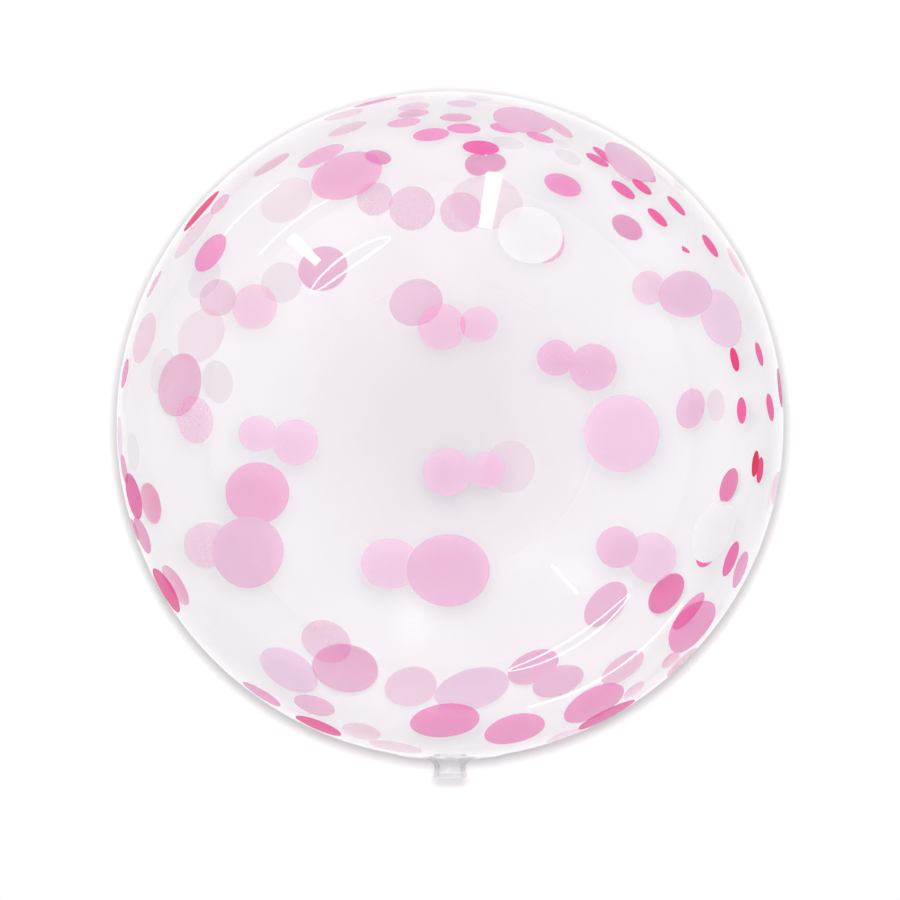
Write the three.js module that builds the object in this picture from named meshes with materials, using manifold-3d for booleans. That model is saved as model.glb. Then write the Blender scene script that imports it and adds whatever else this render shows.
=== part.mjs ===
import * as THREE from 'three';
import { mergeVertices } from 'three/addons/utils/BufferGeometryUtils.js';
import Module from 'manifold-3d';

// A clear bubble balloon lying on its side. Millimetres, +Z up, with the origin at the middle of
// the flat spot that it lies on. Its neck points along -Y, and the front of the bubble faces up.
// The film is sealed all round, so the balloon is one closed solid.

// The bubble, a ball blown up tight
const BUBBLE_RADIUS = 254;
const SPOT_RADIUS = 32;

// The neck, a flat tube that the film is gathered into
const NECK_RADIUS = 7;
const NECK_HALF_WIDTH = 11;
const NECK_HALF_HEIGHT = 3;
const NECK_FILLET = 8;
const GATHER_COUNT = 12;
const GATHER_DEPTH = 0.9;
const GATHER_REACH = 46;

// The tail, two layers of film sealed flat, bent down by its own weight
const TAIL_HALF_WIDTH = 12;
const TAIL_HALF_THICKNESS = 0.9;
const TAIL_BEND_RADIUS = 7;
const TAIL_DROP = 38;
const TAIL_CORNER_RADIUS = 6;
const TAIL_ROOT = 6;

// How finely the round shapes are divided
const SEGMENTS = 72;
const BUBBLE_RINGS = 26;
const GATHER_RINGS = 6;
const FILLET_RINGS = 4;
const TAIL_SEGMENTS = 24;
const TAIL_RINGS = 22;

const FILM_COLOUR = new THREE.Color(0.95, 0.9, 0.94);

const { smoothstep, lerp, clamp } = THREE.MathUtils;

const bubbleCentre = Math.sqrt(BUBBLE_RADIUS ** 2 - SPOT_RADIUS ** 2);

// The fillet between the neck and the bubble touches both. Its centre lies outside them.
const filletCentre = new THREE.Vector2(
    NECK_RADIUS + NECK_FILLET,
    -Math.sqrt((BUBBLE_RADIUS + NECK_FILLET) ** 2 - (NECK_RADIUS + NECK_FILLET) ** 2)
);
const neckEnd = filletCentre.y;

// The point of the bubble's outline at an angle from the neck's axis.
function bubblePoint(angle) {
    return new THREE.Vector2(
        BUBBLE_RADIUS * Math.sin(angle),
        -BUBBLE_RADIUS * Math.cos(angle)
    );
}

// Half the balloon's outline, from the neck's end on the axis round to the top of the bubble.
function balloonOutline() {
    const points = [new THREE.Vector2(0, neckEnd)];
    const filletAngle = Math.atan2(filletCentre.x, -filletCentre.y);
    for (let ring = 0; ring < FILLET_RINGS; ring += 1) {
        const turn = Math.PI - (Math.PI / 2 - filletAngle) * (ring / FILLET_RINGS);
        points.push(new THREE.Vector2(
            filletCentre.x + NECK_FILLET * Math.cos(turn),
            filletCentre.y + NECK_FILLET * Math.sin(turn)
        ));
    }
    const gatherAngle = Math.asin(GATHER_REACH / BUBBLE_RADIUS);
    for (let ring = 0; ring < GATHER_RINGS; ring += 1) {
        points.push(bubblePoint(lerp(filletAngle, gatherAngle, ring / GATHER_RINGS)));
    }
    for (let ring = 0; ring < BUBBLE_RINGS; ring += 1) {
        points.push(bubblePoint(lerp(gatherAngle, Math.PI, ring / BUBBLE_RINGS)));
    }
    points.push(new THREE.Vector2(0, BUBBLE_RADIUS));
    return points;
}

// The bubble and its neck: round the neck the film is flattened into a tube and falls in folds.
function bubbleGeometry() {
    const geometry = new THREE.LatheGeometry(balloonOutline(), SEGMENTS);
    const position = geometry.attributes.position;
    const point = new THREE.Vector3();
    for (let index = 0; index < position.count; index += 1) {
        point.fromBufferAttribute(position, index);
        const distance = Math.hypot(point.x, point.z);
        if (point.y < 0 && distance > 0 && distance < GATHER_REACH) {
            const near = 1 - smoothstep(distance, NECK_RADIUS, GATHER_REACH);
            const fold = GATHER_DEPTH * near * Math.cos(GATHER_COUNT * Math.atan2(point.z, point.x));
            const scale = (distance - fold) / distance;
            point.x *= scale * lerp(1, NECK_HALF_WIDTH / NECK_RADIUS, near);
            point.z *= scale * lerp(1, NECK_HALF_HEIGHT / NECK_RADIUS, near);
            point.y += fold * smoothstep(distance, NECK_RADIUS, NECK_RADIUS + NECK_FILLET);
            position.setXYZ(index, point.x, point.y, point.z);
        }
    }
    return geometry;
}

// Where the tail's middle line is at a distance along it, and how far it has turned down.
function tailLine(distance) {
    const bendStart = TAIL_ROOT;
    const bendLength = TAIL_BEND_RADIUS * Math.PI / 2;
    const turn = clamp((distance - bendStart) / TAIL_BEND_RADIUS, 0, Math.PI / 2);
    const level = Math.min(distance, bendStart) - TAIL_ROOT;
    const drop = Math.max(distance - bendStart - bendLength, 0);
    return {
        y: neckEnd - level - TAIL_BEND_RADIUS * Math.sin(turn),
        z: -TAIL_BEND_RADIUS * (1 - Math.cos(turn)) - drop,
        turn,
    };
}

// The tail: a flat strip with round corners, as thick at its root as the neck that it grows from.
function tailGeometry() {
    const length = TAIL_ROOT + TAIL_BEND_RADIUS * Math.PI / 2 + TAIL_DROP;
    const geometry = new THREE.CylinderGeometry(1, 1, 1, TAIL_SEGMENTS, TAIL_RINGS);
    const position = geometry.attributes.position;
    for (let index = 0; index < position.count; index += 1) {
        const distance = (0.5 - position.getY(index)) * length;
        const across = position.getX(index);
        const flat = smoothstep(distance, 0, TAIL_ROOT + TAIL_BEND_RADIUS);
        const round = position.getZ(index);
        const level = clamp(round / Math.sin(Math.PI * 2 / TAIL_SEGMENTS), -1, 1);
        const toEnd = Math.min(length - distance, TAIL_CORNER_RADIUS);
        const corner = TAIL_CORNER_RADIUS
            - Math.sqrt(TAIL_CORNER_RADIUS ** 2 - (TAIL_CORNER_RADIUS - toEnd) ** 2);
        const halfWidth = lerp(NECK_HALF_WIDTH, TAIL_HALF_WIDTH, flat) - corner;
        const offset = lerp(NECK_HALF_HEIGHT * round, TAIL_HALF_THICKNESS * level, flat);
        const line = tailLine(distance);
        position.setXYZ(
            index,
            across * halfWidth,
            line.y - offset * Math.sin(line.turn),
            line.z + offset * Math.cos(line.turn)
        );
    }
    return geometry;
}

const wasm = await Module();
wasm.setup();

// A closed geometry as a solid that can be joined and cut.
function solidOf(geometry) {
    const bare = geometry.clone();
    bare.deleteAttribute('normal');
    bare.deleteAttribute('uv');
    const merged = mergeVertices(bare, 1e-4);
    return new wasm.Manifold(new wasm.Mesh({
        numProp: 3,
        vertProperties: new Float32Array(merged.attributes.position.array),
        triVerts: new Uint32Array(merged.index.array),
    }));
}

// A solid as a geometry again.
function geometryOf(solid) {
    const mesh = solid.getMesh();
    const geometry = new THREE.BufferGeometry();
    geometry.setAttribute('position', new THREE.BufferAttribute(mesh.vertProperties, 3));
    geometry.setIndex(new THREE.BufferAttribute(mesh.triVerts, 1));
    geometry.computeVertexNormals();
    return geometry;
}

// The ground under the balloon, which flattens the film where it lies.
function groundGeometry() {
    const size = 2 * BUBBLE_RADIUS;
    return new THREE.BoxGeometry(size, size, size).translate(0, 0, -size / 2 - bubbleCentre);
}

const film = solidOf(bubbleGeometry())
    .add(solidOf(tailGeometry()))
    .subtract(solidOf(groundGeometry()));

const balloonFilm = new THREE.Mesh(
    geometryOf(film),
    new THREE.MeshStandardMaterial({ color: FILM_COLOUR, roughness: 0.08, metalness: 0 })
);
balloonFilm.name = 'balloon_film';
balloonFilm.position.z = bubbleCentre;

const balloon = new THREE.Group();
balloon.add(balloonFilm);

export default balloon;
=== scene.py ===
from math import asin, atan2, cos, hypot, pi, radians, sin, sqrt

import bmesh
import bpy
from mathutils import Matrix, Vector
from mathutils.geometry import intersect_line_sphere


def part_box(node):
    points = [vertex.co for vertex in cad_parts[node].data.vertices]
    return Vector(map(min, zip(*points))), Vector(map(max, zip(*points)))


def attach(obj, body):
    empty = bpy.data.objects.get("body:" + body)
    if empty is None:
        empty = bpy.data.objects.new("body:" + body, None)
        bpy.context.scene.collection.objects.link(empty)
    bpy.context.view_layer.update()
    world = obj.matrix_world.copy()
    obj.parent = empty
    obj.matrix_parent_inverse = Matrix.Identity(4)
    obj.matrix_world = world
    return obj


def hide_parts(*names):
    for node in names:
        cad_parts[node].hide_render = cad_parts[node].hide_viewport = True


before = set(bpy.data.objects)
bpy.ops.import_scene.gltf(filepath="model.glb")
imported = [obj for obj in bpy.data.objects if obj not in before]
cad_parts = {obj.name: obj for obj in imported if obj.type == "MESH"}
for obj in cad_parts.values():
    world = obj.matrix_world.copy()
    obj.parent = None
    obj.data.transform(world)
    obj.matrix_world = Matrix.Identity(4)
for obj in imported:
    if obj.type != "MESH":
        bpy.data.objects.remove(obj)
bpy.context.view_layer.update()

# A clear bubble balloon with pink confetti dots, lying on its side. Metres, +Z up, the neck
# along -Y and the front of the bubble facing up.

LOW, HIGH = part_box("balloon_film")

RADIUS = (HIGH.x - LOW.x) / 2
CENTRE = Vector((0, 0, HIGH.z - RADIUS))

# The camera stands over the balloon, far enough back for a long lens. The bubble takes this share
# of the picture's width, and its middle is this share of the width above the picture's middle.
CAMERA_DISTANCE = 6.0
BALLOON_SHARE = 0.741
BALLOON_RISE = 0.028

EYE = CENTRE + Vector((0, 0, CAMERA_DISTANCE))
RIM = RADIUS / sqrt(1 - (RADIUS / CAMERA_DISTANCE) ** 2)


def add_camera():
    """A camera straight above the balloon, with the bubble a little above the picture's middle."""
    data = bpy.data.cameras.new("camera")
    data.sensor_width = 36
    data.lens = data.sensor_width / 2 * BALLOON_SHARE * CAMERA_DISTANCE / RIM
    data.shift_y = -BALLOON_RISE
    camera = bpy.data.objects.new("camera", data)
    camera.location = EYE
    bpy.context.collection.objects.link(camera)
    bpy.context.scene.camera = camera


add_camera()

# ---------------------------------------------------------------- shader maths


class Shader:
    """A material's or the world's node tree."""

    def __init__(self, owner):
        owner.use_nodes = True
        self.tree = owner.node_tree
        self.tree.nodes.clear()

    def node(self, kind, settings=None, in_order=(), **by_name):
        """Any node, with its settings and with what feeds its sockets, in order or by name."""
        made = self.tree.nodes.new("ShaderNode" + kind)
        for name, value in (settings or {}).items():
            setattr(made, name, value)
        for index, value in enumerate(in_order):
            self.feed(made.inputs[index], value)
        for name, value in by_name.items():
            self.feed(made.inputs[name.replace("_", " ")], value)
        return made

    def feed(self, socket, value):
        """Links what changes over the surface, and sets what doesn't."""
        if isinstance(value, Value):
            self.tree.links.new(value.socket, socket)
        elif isinstance(value, bpy.types.NodeSocket):
            self.tree.links.new(value, socket)
        else:
            socket.default_value = value

    def value(self, node, output):
        return Value(self, node.outputs[output])

    def mix_shaders(self, share, first, second):
        return self.node("MixShader", in_order=(share, first, second)).outputs[0]


class Value:
    """A number that changes over a surface, for writing shader maths as expressions."""

    def __init__(self, shader, socket):
        self.shader = shader
        self.socket = socket

    def maths(self, operation, first, second=0.0, clamp=False):
        settings = {"operation": operation, "use_clamp": clamp}
        return self.shader.value(self.shader.node("Math", settings, (first, second)), "Value")

    def __add__(self, other):
        return self.maths("ADD", self, other)

    def __sub__(self, other):
        return self.maths("SUBTRACT", self, other)

    def __rsub__(self, other):
        return self.maths("SUBTRACT", other, self)

    def __mul__(self, other):
        return self.maths("MULTIPLY", self, other)

    def __truediv__(self, other):
        return self.maths("DIVIDE", self, other)

    def __pow__(self, other):
        return self.maths("POWER", self, other)

    def limited(self):
        """Kept between 0 and 1."""
        return self.maths("ADD", self, 0.0, clamp=True)

    __radd__ = __add__
    __rmul__ = __mul__


# ---------------------------------------------------------------- the film's shape

# The neck and tail, as long and as wide as the solid's
NECK_RADIUS = 0.007
NECK_HALF_WIDTH = 0.011
NECK_HALF_HEIGHT = 0.003
NECK_FILLET = 0.008
GATHER_REACH = 0.046
TAIL_HALF_WIDTH = 0.012
TAIL_HALF_THICKNESS = 0.0008
TAIL_BEND_RADIUS = 0.007
TAIL_DROP = 0.0378
TAIL_CORNER_RADIUS = 0.006

SEGMENTS = 256
BUBBLE_RINGS = 120
GATHER_RINGS = 20
FILLET_RINGS = 8
TAIL_RINGS = 32

# Folds round the neck: how many, and how deep each set is
FOLDS = ((12, 0.0008), (19, 0.0004), (31, 0.0002))

# Points nearer than this are one point, and a sealed edge starts from this thickness
SAME_POINT = 1e-6
NO_THICKNESS = 1e-9

NECK_END = -sqrt((RADIUS + NECK_FILLET) ** 2 - (NECK_RADIUS + NECK_FILLET) ** 2)


def mix(a, b, share):
    return a + (b - a) * share


def fade(value, low, high):
    """0 at low and below, 1 at high and above, and smooth between."""
    share = min(max((value - low) / (high - low), 0), 1)
    return share * share * (3 - 2 * share)


def verts_of(items):
    return [item for item in items if isinstance(item, bmesh.types.BMVert)]


def edges_of(items):
    return [item for item in items if isinstance(item, bmesh.types.BMEdge)]


def balloon_outline():
    """Half the outline, from the neck's end to the far pole: (off the neck's axis, along it)."""
    out = NECK_RADIUS + NECK_FILLET
    fillet_angle = atan2(out, -NECK_END)
    gather_angle = asin(GATHER_REACH / RADIUS)
    points = []
    for ring in range(FILLET_RINGS):
        turn = pi - (pi / 2 - fillet_angle) * ring / FILLET_RINGS
        points.append((out + NECK_FILLET * cos(turn), NECK_END + NECK_FILLET * sin(turn)))
    angles = [mix(fillet_angle, gather_angle, k / GATHER_RINGS) for k in range(GATHER_RINGS)]
    angles += [mix(gather_angle, pi, k / BUBBLE_RINGS) for k in range(BUBBLE_RINGS)]
    points += [(RADIUS * sin(angle), -RADIUS * cos(angle)) for angle in angles]
    return points + [(0, RADIUS)]


def spin_bubble(bm):
    """The outline turned about the neck's axis. The neck's end stays open."""
    chain = [bm.verts.new((out, along, 0)) for out, along in balloon_outline()]
    edges = [bm.edges.new(pair) for pair in zip(chain, chain[1:])]
    bmesh.ops.spin(
        bm, geom=chain + edges, cent=(0, 0, 0), axis=(0, 1, 0),
        angle=2 * pi, steps=SEGMENTS, use_merge=True,
    )
    bmesh.ops.remove_doubles(bm, verts=bm.verts[:], dist=SAME_POINT)


def gather_film(bm):
    """Round the neck the film is flattened into a tube and falls in folds."""
    for vert in bm.verts:
        x, y, z = vert.co
        out = hypot(x, z)
        if y > 0 or out >= GATHER_REACH:
            continue
        near = 1 - fade(out, NECK_RADIUS, GATHER_REACH)
        fold = near * sum(depth * cos(count * atan2(z, x)) for count, depth in FOLDS)
        scale = (out - fold) / out
        vert.co = (
            x * scale * mix(1, NECK_HALF_WIDTH / NECK_RADIUS, near),
            y + fold * fade(out, NECK_RADIUS, NECK_RADIUS + NECK_FILLET),
            z * scale * mix(1, NECK_HALF_HEIGHT / NECK_RADIUS, near),
        )


def tail_section(distance, length):
    """Half the tail's width and thickness at a distance along it."""
    flat = fade(distance, 0, TAIL_BEND_RADIUS)
    to_end = min(length - distance, TAIL_CORNER_RADIUS)
    corner = TAIL_CORNER_RADIUS - sqrt(
        TAIL_CORNER_RADIUS ** 2 - (TAIL_CORNER_RADIUS - to_end) ** 2)
    width = mix(NECK_HALF_WIDTH, TAIL_HALF_WIDTH, flat) - corner
    thickness = mix(NECK_HALF_HEIGHT, TAIL_HALF_THICKNESS, flat)
    return width, thickness * min(to_end / TAIL_CORNER_RADIUS, 1)


def grow_tail(bm):
    """Extrudes the neck's open end into the tail, flattens it, bends it down and seals it."""
    length = TAIL_BEND_RADIUS * pi / 2 + TAIL_DROP
    edges = [edge for edge in bm.edges if edge.is_boundary]
    tail = set()
    last = tail_section(0, length)
    for ring in range(1, TAIL_RINGS + 1):
        grown = bmesh.ops.extrude_edge_only(bm, edges=edges)["geom"]
        edges = edges_of(grown)
        verts = verts_of(grown)
        width, thickness = tail_section(length * ring / TAIL_RINGS, length)
        bmesh.ops.translate(bm, verts=verts, vec=(0, -length / TAIL_RINGS, 0))
        bmesh.ops.scale(bm, verts=verts, vec=(width / last[0], 1, thickness / last[1]))
        last = width, max(thickness, NO_THICKNESS)
        tail.update(verts)
    for vert in tail:
        bend_down(vert)
    bmesh.ops.remove_doubles(bm, verts=verts, dist=SAME_POINT)


def bend_down(vert):
    """Moves a point of the straight tail to where it is when the tail hangs."""
    distance = NECK_END - vert.co.y
    turn = min(distance / TAIL_BEND_RADIUS, pi / 2)
    drop = max(distance - TAIL_BEND_RADIUS * pi / 2, 0)
    vert.co = (
        vert.co.x,
        NECK_END - TAIL_BEND_RADIUS * sin(turn) - vert.co.z * sin(turn),
        -TAIL_BEND_RADIUS * (1 - cos(turn)) - drop + vert.co.z * cos(turn),
    )


# ---------------------------------------------------------------- the printed dots

# As far as a face reaches from one of its corners
FACE_REACH = 2 * pi * RADIUS / SEGMENTS * 1.5

# While a dot lies flat its outline is cut at this height, and a corner this near to it is on it
CUT_LIFT = 0.01
CUT_SNAP = 0.00015

# The level of a dot up to which a face's corners are inside it, and the share of what an ink lets
# through that passes straight through its gaps
INSIDE_LEVEL = 1.001
GAP_SHARE = 0.9

# What each ink lets through over white. An ink with a second number covers the dots under it and
# hides at least that much of what is behind it.
INKS = {
    "veil": ((1.0, 0.885, 0.945), None),
    "lilac": ((0.94, 0.72, 0.87), None),
    "blush": ((0.975, 0.75, 0.865), None),
    "rose": ((0.935, 0.58, 0.75), None),
    "pink": ((0.91, 0.40, 0.64), None),
    "hot_pink": ((0.86, 0.19, 0.45), None),
    "magenta": ((0.91, 0.14, 0.38), None),
    "cerise": ((0.86, 0.045, 0.21), None),
    "crimson": ((0.74, 0.005, 0.07), None),
    "pearl": ((0.955, 0.905, 0.94), None),
    # painted highlight: not an ink, but near-white patches put where glare hides the dots, standing
    # for that glare
    "painted_glare": ((0.995, 0.99, 0.995), 0.35),
    "flat_veil": ((1.0, 0.925, 0.965), 0.3),
    "flat_blush": ((0.965, 0.745, 0.88), 0.42),
    "flat_rose": ((0.93, 0.66, 0.81), 0.42),
    "flat_mid": ((0.92, 0.59, 0.765), 0.45),
    "flat_pink": ((0.91, 0.42, 0.65), 0.5),
}

# Each dot as it shows from the front: across and up from the middle, half its length and half
# its width in thousandths of the rim's radius, the tilt of its length in degrees, and its ink.
# A round dot shows longer than wide where the film turns away. A later dot is printed over an
# earlier one on the same wall.
DOT_UNIT = RIM / 1000
NEAR_DOTS = [
    (-771, 571, 90, 18, 51, "blush"),
    (-888, 422, 46, 6, 62, "rose"),
    (-321, 931, 60, 10, 14, "lilac"),
    (-123, 980, 51, 6, 5, "veil"),
    (88, 981, 42, 7, -5, "veil"),
    (36, 964, 45, 10, -2, "lilac"),
    (-138, 907, 51, 13, 7, "rose"),
    (336, 844, 24, 9, -25, "pearl"),
    (687, 721, 24, 7, -45, "veil"),
    (991, 111, 60, 5, 96, "hot_pink"),
    (930, -136, 40, 10, 84, "cerise"),
    (978, -190, 51, 8, 80, "lilac"),
    (-976, 155, 45, 8, 80, "pink"),
    (-992, -43, 69, 7, 92, "lilac"),
    (-866, 163, 69, 33, 76, "pearl"),
    (-978, -134, 45, 8, 99, "pink"),
    (-925, -333, 58, 16, 111, "pink"),
    (-947, -313, 36, 5, 110, "pink"),
    (-486, -740, 96, 54, 148, "lilac"),
    (-567, -809, 67, 12, 148, "pink"),
    (-16, -892, 105, 50, 6, "pink"),
    (195, -918, 93, 42, 14, "pink"),
    (-165, -968, 81, 14, 170, "blush"),
    (345, -934, 60, 9, 20, "blush"),
    (731, -609, 94, 48, 50, "pink"),
    (697, -713, 63, 8, 44, "rose"),
    (434, -840, 100, 42, 28, "pink"),
    (-748, 643, 80, 9, 49, "cerise"),
    (-691, 663, 39, 14, 48, "rose"),
    (-720, 517, 66, 33, 54, "pink"),
    (-588, 355, 69, 66, 60, "blush"),
    (-388, 808, 75, 21, 24, "rose"),
    (-312, 752, 111, 66, 20, "rose"),
    (-225, 970, 68, 5, 13, "pink"),
    (-57, 871, 55, 19, 5, "pink"),
    (-108, 955, 48, 12, 7, "lilac"),
    (93, 832, 55, 21, -5, "hot_pink"),
    (41, 889, 51, 15, -2, "pink"),
    (164, 891, 45, 14, -9, "pink"),
    (324, 893, 54, 13, -33, "rose"),
    (219, 919, 90, 37, -10, "flat_mid"),
    (271, 862, 43, 12, -17, "pink"),
    (339, 720, 58, 31, -20, "pink"),
    (279, 550, 66, 63, -20, "rose"),
    # painted highlight: a near-white patch standing for glare over the dots here
    (242, 572, 98, 84, -15, "painted_glare"),
    (-25, 295, 72, 70, 0, "blush"),
    (87, 303, 57, 53, 0, "blush"),
    (462, 808, 42, 10, -38, "hot_pink"),
    (442, 795, 39, 11, -29, "hot_pink"),
    (513, 770, 51, 18, -45, "blush"),
    (585, 757, 42, 16, -40, "pink"),
    (540, 792, 87, 39, -36, "flat_mid"),
    (520, 705, 43, 15, -37, "hot_pink"),
    (576, 714, 36, 12, -38, "magenta"),
    (679, 657, 39, 10, -47, "magenta"),
    (623, 622, 39, 13, -43, "magenta"),
    (702, 527, 21, 6.5, -32, "magenta"),
    (781, 537, 41, 11, -56, "magenta"),
    (597, 412, 51, 50, -60, "blush"),
    (818, 321, 90, 58, -70, "flat_blush"),
    (712, 394, 81, 70, 0, "flat_rose"),
    (854, 196, 37, 12, 102, "cerise"),
    (928, 212, 37, 9, 104, "magenta"),
    (875, 43, 40, 14, 91, "magenta"),
    (961, 52, 42, 10, 98, "magenta"),
    (723, 49, 61, 42, 76, "flat_rose"),
    (318, 201, 57, 54, 0, "flat_rose"),
    (430, 173, 71, 71, 0, "flat_rose"),
    (520, -26, 113, 116, 0, "flat_blush"),
    (109, -136, 57, 54, 0, "flat_blush"),
    (-8, -143, 73, 74, 0, "flat_blush"),
    (916, -117, 40, 10, 83, "crimson"),
    (772, -384, 48, 27, 62, "hot_pink"),
    # painted highlight: a near-white patch standing for glare over the dots here
    (794, -322, 99, 57, 66, "painted_glare"),
    (609, -400, 74, 75, 0, "flat_blush"),
    (503, -368, 63, 63, 0, "flat_rose"),
    (-181, -418, 88, 76, 0, "flat_blush"),
    (-5, -440, 125, 109, 0, "flat_rose"),
    (-579, -26, 57, 54, 0, "flat_blush"),
    (-465, -53, 69, 69, 0, "flat_blush"),
    (-732, -362, 71, 69, 0, "blush"),
    (-582, -206, 96, 93, 0, "rose"),
    (-612, -386, 107, 107, 0, "flat_rose"),
    (-768, 16, 72, 54, 100, "blush"),
    (-920, 262, 78, 28, 74, "blush"),
    (-952, -215, 71, 20, 103, "hot_pink"),
    (-854, -498, 76, 18, 120, "magenta"),
    (-408, -843, 64, 27, 162, "rose"),
    (-396, -905, 74, 14, 158, "magenta"),
    (718, -560, 71, 21, 51, "pink"),
    (472, -873, 95, 13, 27, "hot_pink"),
    (872, -436, 58, 15, 71, "pink"),
    (843, -403, 56, 16, 69, "hot_pink"),
]
FAR_DOTS = [
    (-738, 436, 63, 40, 54, "pearl"),
    (-699, 382, 56, 54, 60, "blush"),
    (-507, 428, 62, 60, 50, "pearl"),
    (-492, 677, 84, 58, 35, "veil"),
    (-216, 803, 40, 21, -10, "pink"),
    (84, 781, 39, 33, 0, "flat_pink"),
    (132, 787, 36, 27, 0, "flat_pink"),
    (174, 846, 48, 18, -10, "pearl"),
    (354, 804, 42, 17, -25, "pearl"),
    (-226, 679, 54, 50, 15, "blush"),
    (-114, 652, 69, 66, 10, "blush"),
    (33, 640, 63, 60, 0, "blush"),
    (111, 670, 108, 80, -6, "veil"),
    (-102, 368, 81, 69, 20, "blush"),
    (532, 593, 51, 31, -35, "pink"),
    (798, 60, 48, 26, 92, "veil"),
    (837, -182, 54, 24, 72, "hot_pink"),
    (181, -126, 73, 79, 0, "flat_veil"),
    (-751, 268, 87, 64, 60, "veil"),
    (-815, 120, 96, 63, 78, "rose"),
    (-699, 130, 64, 46, 100, "pearl"),
    (-372, -652, 78, 60, 152, "blush"),
    (-316, -734, 100, 72, 170, "rose"),
    (-118, -788, 79, 59, 10, "blush"),
    (66, -796, 114, 60, 15, "lilac"),
    (650, -507, 70, 41, 52, "hot_pink"),
    (-536, 781, 63, 12, 32, "pink"),
    (-899, -236, 63, 28, 103, "hot_pink"),
    (18, 922, 48, 12, -1, "pink"),
    (-267, -922, 60, 23, 168, "rose"),
    (-309, 889, 60, 13, 19, "rose"),
    (860, 486, 51, 10, -60, "magenta"),
    (-111, 934, 48, 11, 7, "pink"),
    (-825, -482, 69, 22, 121, "hot_pink"),
    (552, -796, 39, 13, 38, "pink"),
    (663, -706, 33, 15, 42, "hot_pink"),
    (-952, -81, 57, 18, 95, "pearl"),
    (-382, 470, 75, 66, 20, "rose"),
    (468, -540, 81, 48, 48, "rose"),
    (519, -730, 75, 33, 36, "rose"),
    (250, -728, 81, 46, 25, "rose"),
    (325, -771, 80, 43, 21, "flat_mid"),
]


def on_film(across, up, far):
    """The point of the bubble that shows at this place from the front, on either wall."""
    seen = Vector((across, up, 0)) * DOT_UNIT
    eye = EYE - CENTRE
    hits = intersect_line_sphere(eye, eye + (seen - eye) * 2, Vector(), RADIUS, False)
    hits = sorted((hit for hit in hits if hit is not None), key=lambda hit: (hit - eye).length)
    return hits[-1] if far else hits[0]


class Dot:
    """A dot's outline: an ellipse in the plane that touches the film at the dot's middle."""

    def __init__(self, across, up, half_length, half_width, tilt, far):
        centre = on_film(across, up, far)
        self.axis = centre.normalized()
        depth = CAMERA_DISTANCE - centre.z
        outward = Vector((centre.x, centre.y, 0)).normalized()
        self.around = Vector((-outward.y, outward.x, 0))
        self.along = self.around.cross(self.axis) * (-1 if far else 1)
        shown = CAMERA_DISTANCE / depth / DOT_UNIT
        squash = abs(CAMERA_DISTANCE * self.axis.z - RADIUS) / depth
        to_length = Matrix.Rotation(-radians(tilt), 2) @ Matrix(
            ((outward.x, -outward.y), (outward.y, outward.x)))
        scale = Matrix.Diagonal((1 / half_length, 1 / half_width))
        self.shape = scale @ to_length @ Matrix.Diagonal((squash * shown, shown))
        back = self.shape.inverted()
        self.reach = sqrt(back[0].length_squared + back[1].length_squared)

    def flat(self, point):
        """A point of the film in the plane, from the dot's middle."""
        return Vector((point.dot(self.along), point.dot(self.around)))

    def level(self, flat):
        """0 at the dot's middle and 1 on its outline."""
        return (self.shape @ flat).length

    def on_film(self, flat):
        """The point of the film over a point of the plane."""
        rise = sqrt(RADIUS ** 2 - flat.length_squared)
        return self.along * flat.x + self.around * flat.y + self.axis * rise


def faces_near(bm, dot):
    """The faces that may hold a part of a dot."""
    middle = dot.axis * RADIUS
    reach = dot.reach + FACE_REACH
    near = [vert for vert in bm.verts if (vert.co - middle).length < reach]
    return {face for vert in near for face in vert.link_faces}


def cut_outline(bm, dot):
    """Cuts a dot's outline into the film, with a smooth curve between the faces' edges."""
    faces = faces_near(bm, dot)
    flats = {vert: dot.flat(vert.co) for face in faces for vert in face.verts}
    levels = {vert: dot.level(flat) for vert, flat in flats.items()}
    crossed = [
        face for face in faces
        if min(levels[vert] for vert in face.verts) < 1 < max(levels[vert] for vert in face.verts)
    ]
    verts = {vert for face in crossed for vert in face.verts}
    edges = {edge for face in crossed for edge in face.edges}
    places = {vert: vert.co.copy() for vert in verts}
    for vert in verts:
        vert.co = (*flats[vert], levels[vert] * CUT_LIFT)
    cut = bmesh.ops.bisect_plane(
        bm, geom=[*verts, *edges, *crossed], dist=CUT_SNAP,
        plane_co=(0, 0, CUT_LIFT), plane_no=(0, 0, 1))["geom_cut"]
    outline = verts_of(cut)
    for vert in outline:
        vert.co = dot.on_film(vert.co.xy / dot.level(vert.co.xy))
    for vert, place in places.items():
        if vert not in outline:
            vert.co = place
    finer = bmesh.ops.subdivide_edges(bm, edges=edges_of(cut), cuts=2)
    for vert in verts_of(finer["geom_inner"]):
        flat = dot.flat(vert.co)
        vert.co = dot.on_film(flat / dot.level(flat))


def print_dot(bm, see, hide, dot, ink):
    """Cuts a dot into the film and gives the faces inside it its ink."""
    cut_outline(bm, dot)
    colour, hides = INKS[ink]
    for face in faces_near(bm, dot):
        if max(dot.level(dot.flat(vert.co)) for vert in face.verts) > INSIDE_LEVEL:
            continue
        if hides is None:
            face[see] = [a * b for a, b in zip(face[see], (*colour, 1))]
        else:
            face[see] = (*colour, 1)
            face[hide] = hides


def print_dots(bm):
    """Prints every dot, first those of the near wall and then those of the far one."""
    see = bm.faces.layers.float_color.new("see")
    hide = bm.faces.layers.float.new("hide")
    for face in bm.faces:
        face[see] = (1, 1, 1, 1)
    for dots, far in ((NEAR_DOTS, False), (FAR_DOTS, True)):
        for *place, ink in dots:
            print_dot(bm, see, hide, Dot(*place, far), ink)


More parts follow.
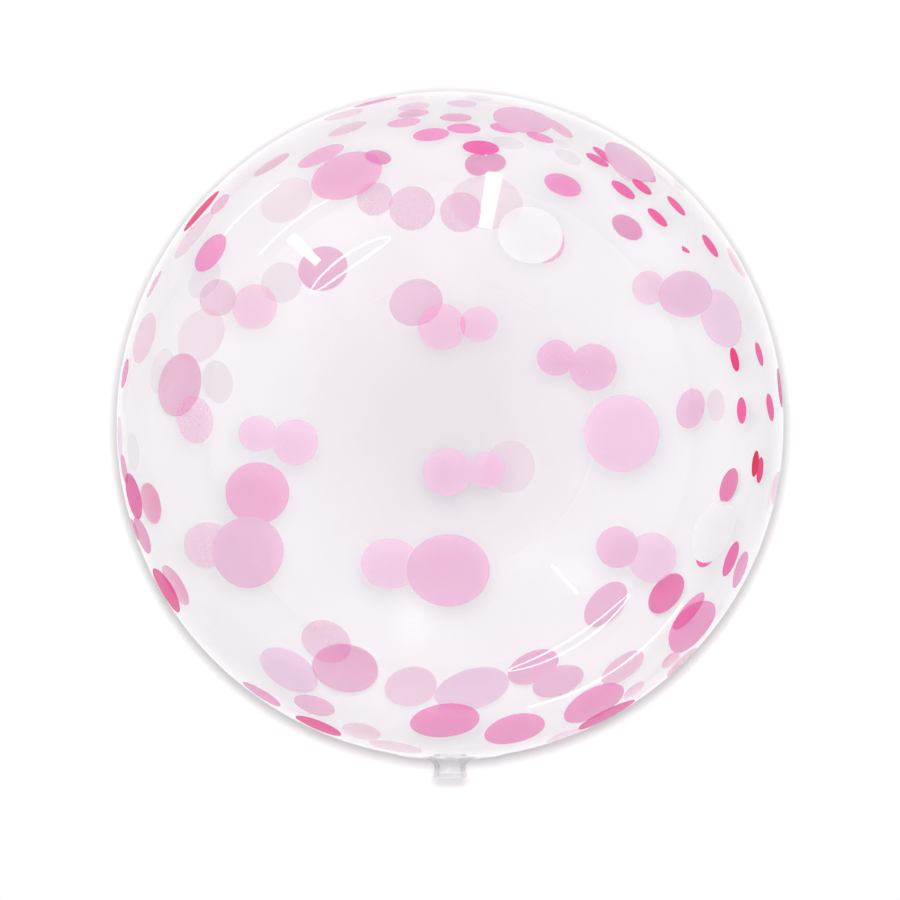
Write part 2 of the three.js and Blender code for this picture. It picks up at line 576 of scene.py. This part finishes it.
def ink_faces(bm):
    """Works out each face's pigment and how much of it there is from what it lets through."""
    see = bm.faces.layers.float_color["see"]
    hide = bm.faces.layers.float["hide"]
    pigment = bm.faces.layers.float_color.new("pigment")
    cover = bm.faces.layers.float.new("cover")
    for face in bm.faces:
        shows = face[see][:3]
        covered = max(1 - GAP_SHARE * min(shows), face[hide]) if min(shows) < 1 else 0
        face[cover] = covered
        if covered:
            face[pigment] = [(part - 1 + covered) / covered for part in shows] + [1]
    bm.faces.layers.float_color.remove(see)
    bm.faces.layers.float.remove(hide)


def film_piece():
    """The whole film, with its dots cut in and its normals smooth."""
    bm = bmesh.new()
    spin_bubble(bm)
    print_dots(bm)
    gather_film(bm)
    grow_tail(bm)
    ink_faces(bm)
    bmesh.ops.translate(bm, verts=bm.verts[:], vec=CENTRE)
    flatten_spot(bm)
    bmesh.ops.recalc_face_normals(bm, faces=bm.faces[:])
    for face in bm.faces:
        face.smooth = True
    mesh = bpy.data.meshes.new("balloon_film")
    bm.to_mesh(mesh)
    bm.free()
    round_normals(mesh)
    piece = bpy.data.objects.new("printed_film", mesh)
    bpy.context.collection.objects.link(piece)
    return piece


# How near to the flat spot's height a point lies in it
FLAT_SNAP = 1e-5


def round_normals(mesh):
    """Away from the neck and the flat spot the film shades as a true sphere."""
    normals = []
    for vert in mesh.vertices:
        out = vert.co - CENTRE
        gathered = out.y < 0 and hypot(out.x, out.z) < GATHER_REACH
        flat = vert.co.z < LOW.z + FLAT_SNAP
        normals.append(vert.normal if gathered or flat else out.normalized())
    mesh.normals_split_custom_set_from_vertices(normals)


def flatten_spot(bm):
    """The film lies flat where it touches the floor."""
    bmesh.ops.bisect_plane(
        bm, geom=bm.verts[:] + bm.edges[:] + bm.faces[:], dist=FLAT_SNAP,
        plane_co=(0, 0, LOW.z), plane_no=(0, 0, 1))
    for vert in bm.verts:
        vert.co.z = max(vert.co.z, LOW.z)


# ---------------------------------------------------------------- materials

CLEAR = (0.985, 0.98, 0.99, 1)

# The film's gloss is a little hazier low down, and the clear film is faintly milky in clouds
GLOSS_ROUGHNESS = 0.03
HAZE_ROUGHNESS = 0.3
FILM_MIRROR = 0.04
MILK = (0.97, 0.955, 0.985, 1)
MOST_MILK = 0.07
CLOUD_SCALE = 9.0
CLOUD_START = 0.4
CLOUD_STEEPNESS = 4

# The ink's fine grain
GRAIN_SCALE = 1100.0
GRAIN_DEPTH = 0.4


def film_material():
    """Clear film with a gloss that grows towards the edge, and ink with a fine grain on it."""
    material = bpy.data.materials.new("printed_film")
    shader = Shader(material)
    place = shader.node("TexCoord").outputs["Object"]
    grain = shader.value(shader.node(
        "TexNoise", Vector=place, Scale=GRAIN_SCALE, Detail=1.0, Roughness=0.6), "Fac")
    cover = shader.value(shader.node("Attribute", {"attribute_name": "cover"}), "Fac")
    pigment = shader.node("Attribute", {"attribute_name": "pigment"}).outputs["Color"]
    speckled = (cover + (grain - 0.5) * cover * (1 - cover) * GRAIN_DEPTH).limited()
    clouds = shader.value(shader.node(
        "TexNoise", Vector=place, Scale=CLOUD_SCALE, Detail=1.0, Roughness=0.5), "Fac")
    milky = ((clouds - CLOUD_START) * CLOUD_STEEPNESS).limited() * MOST_MILK
    clear = shader.mix_shaders(
        milky,
        shader.node("BsdfTransparent", Color=CLEAR).outputs[0],
        shader.node("BsdfPrincipled", Base_Color=MILK, Roughness=0.6).outputs[0])
    ink = shader.node(
        "BsdfPrincipled", Base_Color=pigment, Roughness=0.5, Specular_IOR_Level=0.2).outputs[0]
    sheet = shader.mix_shaders(speckled, clear, ink)
    height = shader.value(shader.node("SeparateXYZ", Vector=place), "Z")
    low = (1 - height / (2 * RADIUS)).limited()
    haze = GLOSS_ROUGHNESS + (HAZE_ROUGHNESS - GLOSS_ROUGHNESS) * low ** 2
    gloss = shader.node("BsdfGlossy", Color=(1, 1, 1, 1), Roughness=haze).outputs[0]
    slant = shader.value(shader.node("LayerWeight", Blend=0.5), "Facing")
    bare = 1 - cover
    # Schlick's rule for one side of the film, then both sides together
    mirror = bare * (FILM_MIRROR + (1 - FILM_MIRROR) * bare * slant ** 5)
    shine = 2 * mirror / (1 + mirror)
    surface = shader.mix_shaders(shine, sheet, gloss)
    shader.node("OutputMaterial", Surface=surface)
    return material


def floor_material():
    """Plain pale board."""
    material = bpy.data.materials.new("pale_floor")
    shader = Shader(material)
    shader.node("OutputMaterial", Surface=shader.node(
        "BsdfPrincipled", Base_Color=(0.93, 0.93, 0.93, 1), Roughness=0.6,
        Specular_IOR_Level=0.1).outputs[0])
    return material


# ---------------------------------------------------------------- the studio

FLOOR_RADIUS = 14
FLOOR_SEGMENTS = 96
FLOOR_GAP = 0.0004
KEY_PLACE = CENTRE + Vector((0, 0.045, 4.85))
KEY_SIZE = 0.22
KEY_POWER = 172
SKY_TOP = 0.03
SKY_EDGE = 0.79
SKY_FALL = 2.3
HOOP_THICKNESS = 0.013
HOOP_STRENGTH = 10
HOOP_SEGMENTS = 64


def add_floor():
    """A round floor, a hair under the balloon's flat spot."""
    bm = bmesh.new()
    bmesh.ops.create_circle(bm, cap_ends=True, segments=FLOOR_SEGMENTS, radius=FLOOR_RADIUS)
    bmesh.ops.translate(bm, verts=bm.verts[:], vec=(0, 0, LOW.z - FLOOR_GAP))
    mesh = bpy.data.meshes.new("floor")
    bm.to_mesh(mesh)
    bm.free()
    floor = bpy.data.objects.new("floor", mesh)
    bpy.context.collection.objects.link(floor)
    mesh.materials.append(floor_material())


def facing(place, side, back):
    """The pose of something at a place, its width along side and its own Z along back."""
    turn = Matrix((side, back.cross(side), back)).transposed().to_4x4()
    return Matrix.Translation(place) @ turn


def light_up(name, place, target, upward, shape, width, height, power):
    """An area light at a place, facing a target, its height along a direction."""
    data = bpy.data.lights.new(name, "AREA")
    data.shape = shape
    data.size = width
    data.size_y = height
    data.energy = power
    light = bpy.data.objects.new(name, data)
    back = (place - target).normalized()
    side = upward.cross(back).normalized()
    light.matrix_world = facing(place, side, back)
    light.visible_camera = False
    bpy.context.collection.objects.link(light)
    return light


def add_key():
    """A small lamp above the balloon, whose soft shadow shows just outside the lower edge."""
    ahead = Vector((0, 1, 0))
    lamp = light_up("key", KEY_PLACE, CENTRE, ahead, "ELLIPSE", KEY_SIZE, KEY_SIZE, KEY_POWER)
    lamp.visible_glossy = False


def mirrored(across, up, distance):
    """Where a light stands so that the bubble mirrors it here, and the point that it shows in."""
    point = on_film(across, up, False)
    sight = (point - (EYE - CENTRE)).normalized()
    normal = point.normalized()
    away = sight - 2 * sight.dot(normal) * normal
    return CENTRE + point + away * distance, CENTRE + point


def add_softbox(name, across, up, turn, distance, width, height, power):
    """A soft light mirrored at this place, its height pointing away from the bubble's middle."""
    place, point = mirrored(across, up, distance)
    upright = Matrix.Rotation(radians(turn), 3, place - point) @ Vector((0, 0, 1))
    light_up(name, place, point, upright, "RECTANGLE", width, height, power)


def add_hoop_light(name, across, up, turn, distance, half_width, half_height):
    """A long narrow hoop of light, mirrored at this place as a fine outline."""
    place, point = mirrored(across, up, distance)
    back = (place - point).normalized()
    upright = Matrix.Rotation(radians(turn), 3, back) @ Vector((0, 0, 1))
    side = upright.cross(back).normalized()
    bm = bmesh.new()
    for inset in (0, HOOP_THICKNESS * distance):
        ring = bmesh.ops.create_circle(bm, segments=HOOP_SEGMENTS, radius=1)["verts"]
        bmesh.ops.scale(bm, verts=ring, vec=(half_width - inset, half_height - inset, 1))
    bmesh.ops.bridge_loops(bm, edges=bm.edges[:])
    bmesh.ops.transform(bm, verts=bm.verts[:], matrix=facing(place, side, back))
    mesh = bpy.data.meshes.new(name)
    bm.to_mesh(mesh)
    bm.free()
    material = bpy.data.materials.new(name)
    shader = Shader(material)
    glow = shader.node("Emission", Strength=HOOP_STRENGTH).outputs[0]
    shader.node("OutputMaterial", Surface=glow)
    mesh.materials.append(material)
    hoop = bpy.data.objects.new(name, mesh)
    hoop.visible_camera = False
    bpy.context.collection.objects.link(hoop)


def add_low_strip(name, bearing, distance, length, height, power):
    """A long thin light by the floor, which the bubble mirrors as an arc round its middle."""
    out = Vector((cos(radians(bearing)), sin(radians(bearing)), 0))
    place = out * distance + Vector((0, 0, height))
    light_up(name, place, CENTRE, Vector((0, 0, 1)), "RECTANGLE", length, height, power)


def add_world():
    """Soft light from all round, darker overhead."""
    world = bpy.data.worlds.new("studio")
    bpy.context.scene.world = world
    shader = Shader(world)
    direction = shader.node("TexCoord").outputs["Generated"]
    height = shader.value(shader.node("SeparateXYZ", Vector=direction), "Z")
    above = height.maths("MAXIMUM", height, 0.0)
    strength = SKY_EDGE - (SKY_EDGE - SKY_TOP) * above ** SKY_FALL
    shader.node("OutputWorld", Surface=shader.node(
        "Background", Color=(1, 1, 1, 1), Strength=strength).outputs[0])


film = film_piece()
film.data.materials.append(film_material())
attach(film, "root")
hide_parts("balloon_film")

add_floor()
add_world()
add_key()
add_softbox(
    "strip_light", across=120, up=676, turn=0, distance=1.2, width=0.09, height=0.6, power=0.85)
add_softbox(
    "edge_light", across=-438, up=526, turn=4, distance=1.2, width=0.055, height=0.4, power=0.5)
add_softbox(
    "stroke_light", across=345, up=-465, turn=4, distance=1.2, width=0.013, height=0.36, power=0.14)
add_hoop_light(
    "hoop_light", across=-306, up=490, turn=4, distance=1.0, half_width=0.28, half_height=0.06)
add_hoop_light(
    "low_hoop_light", across=375, up=-650, turn=5, distance=1.72, half_width=0.57, half_height=0.08)
add_low_strip("near_arc", bearing=-56, distance=0.8, length=0.53, height=0.009, power=0.1)
add_low_strip("back_arc", bearing=128, distance=2.8, length=1.0, height=0.03, power=0.5)
add_low_strip("back_near_arc", bearing=136, distance=0.8, length=0.3, height=0.009, power=0.035)

bpy.context.scene.view_settings.view_transform = "Standard"
